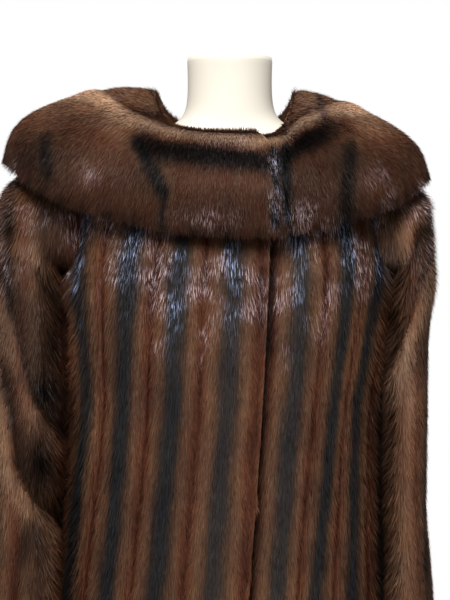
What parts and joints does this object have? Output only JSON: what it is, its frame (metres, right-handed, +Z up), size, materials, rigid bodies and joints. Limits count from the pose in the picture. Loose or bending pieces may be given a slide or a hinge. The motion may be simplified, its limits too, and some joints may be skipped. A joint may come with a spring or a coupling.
{
  "type": "fur coat on a dress form",
  "caption": "Long dark fur coat with a wide portrait collar and hanging sleeves, closed right over left, worn by a plain limbless dress form on a pole and round base.",
  "frame": {"origin": "on the floor, at the middle of the whole part's outline seen from above", "axes": "+Z up, along the pole and the wearer's spine; the coat's front faces -Y; the wearer's left is +X"},
  "size_m": [0.5752, 0.4328, 1.4392],
  "materials": {
    "fur": "glossy laid fur, lengthwise dark and brown stripes",
    "form_cover": "matte stretched jersey",
    "stand_steel": "satin"
  },
  "bodies": {
    "root": {"front_right": "fur", "front_left": "fur", "back": "fur", "sleeve_right": "fur", "sleeve_left": "fur", "collar_right": "fur", "collar_left": "fur", "form_torso": "form_cover", "stand_base": "stand_steel", "stand_pole": "stand_steel", "stand_socket": "stand_steel"}
  },
  "joints": []
}
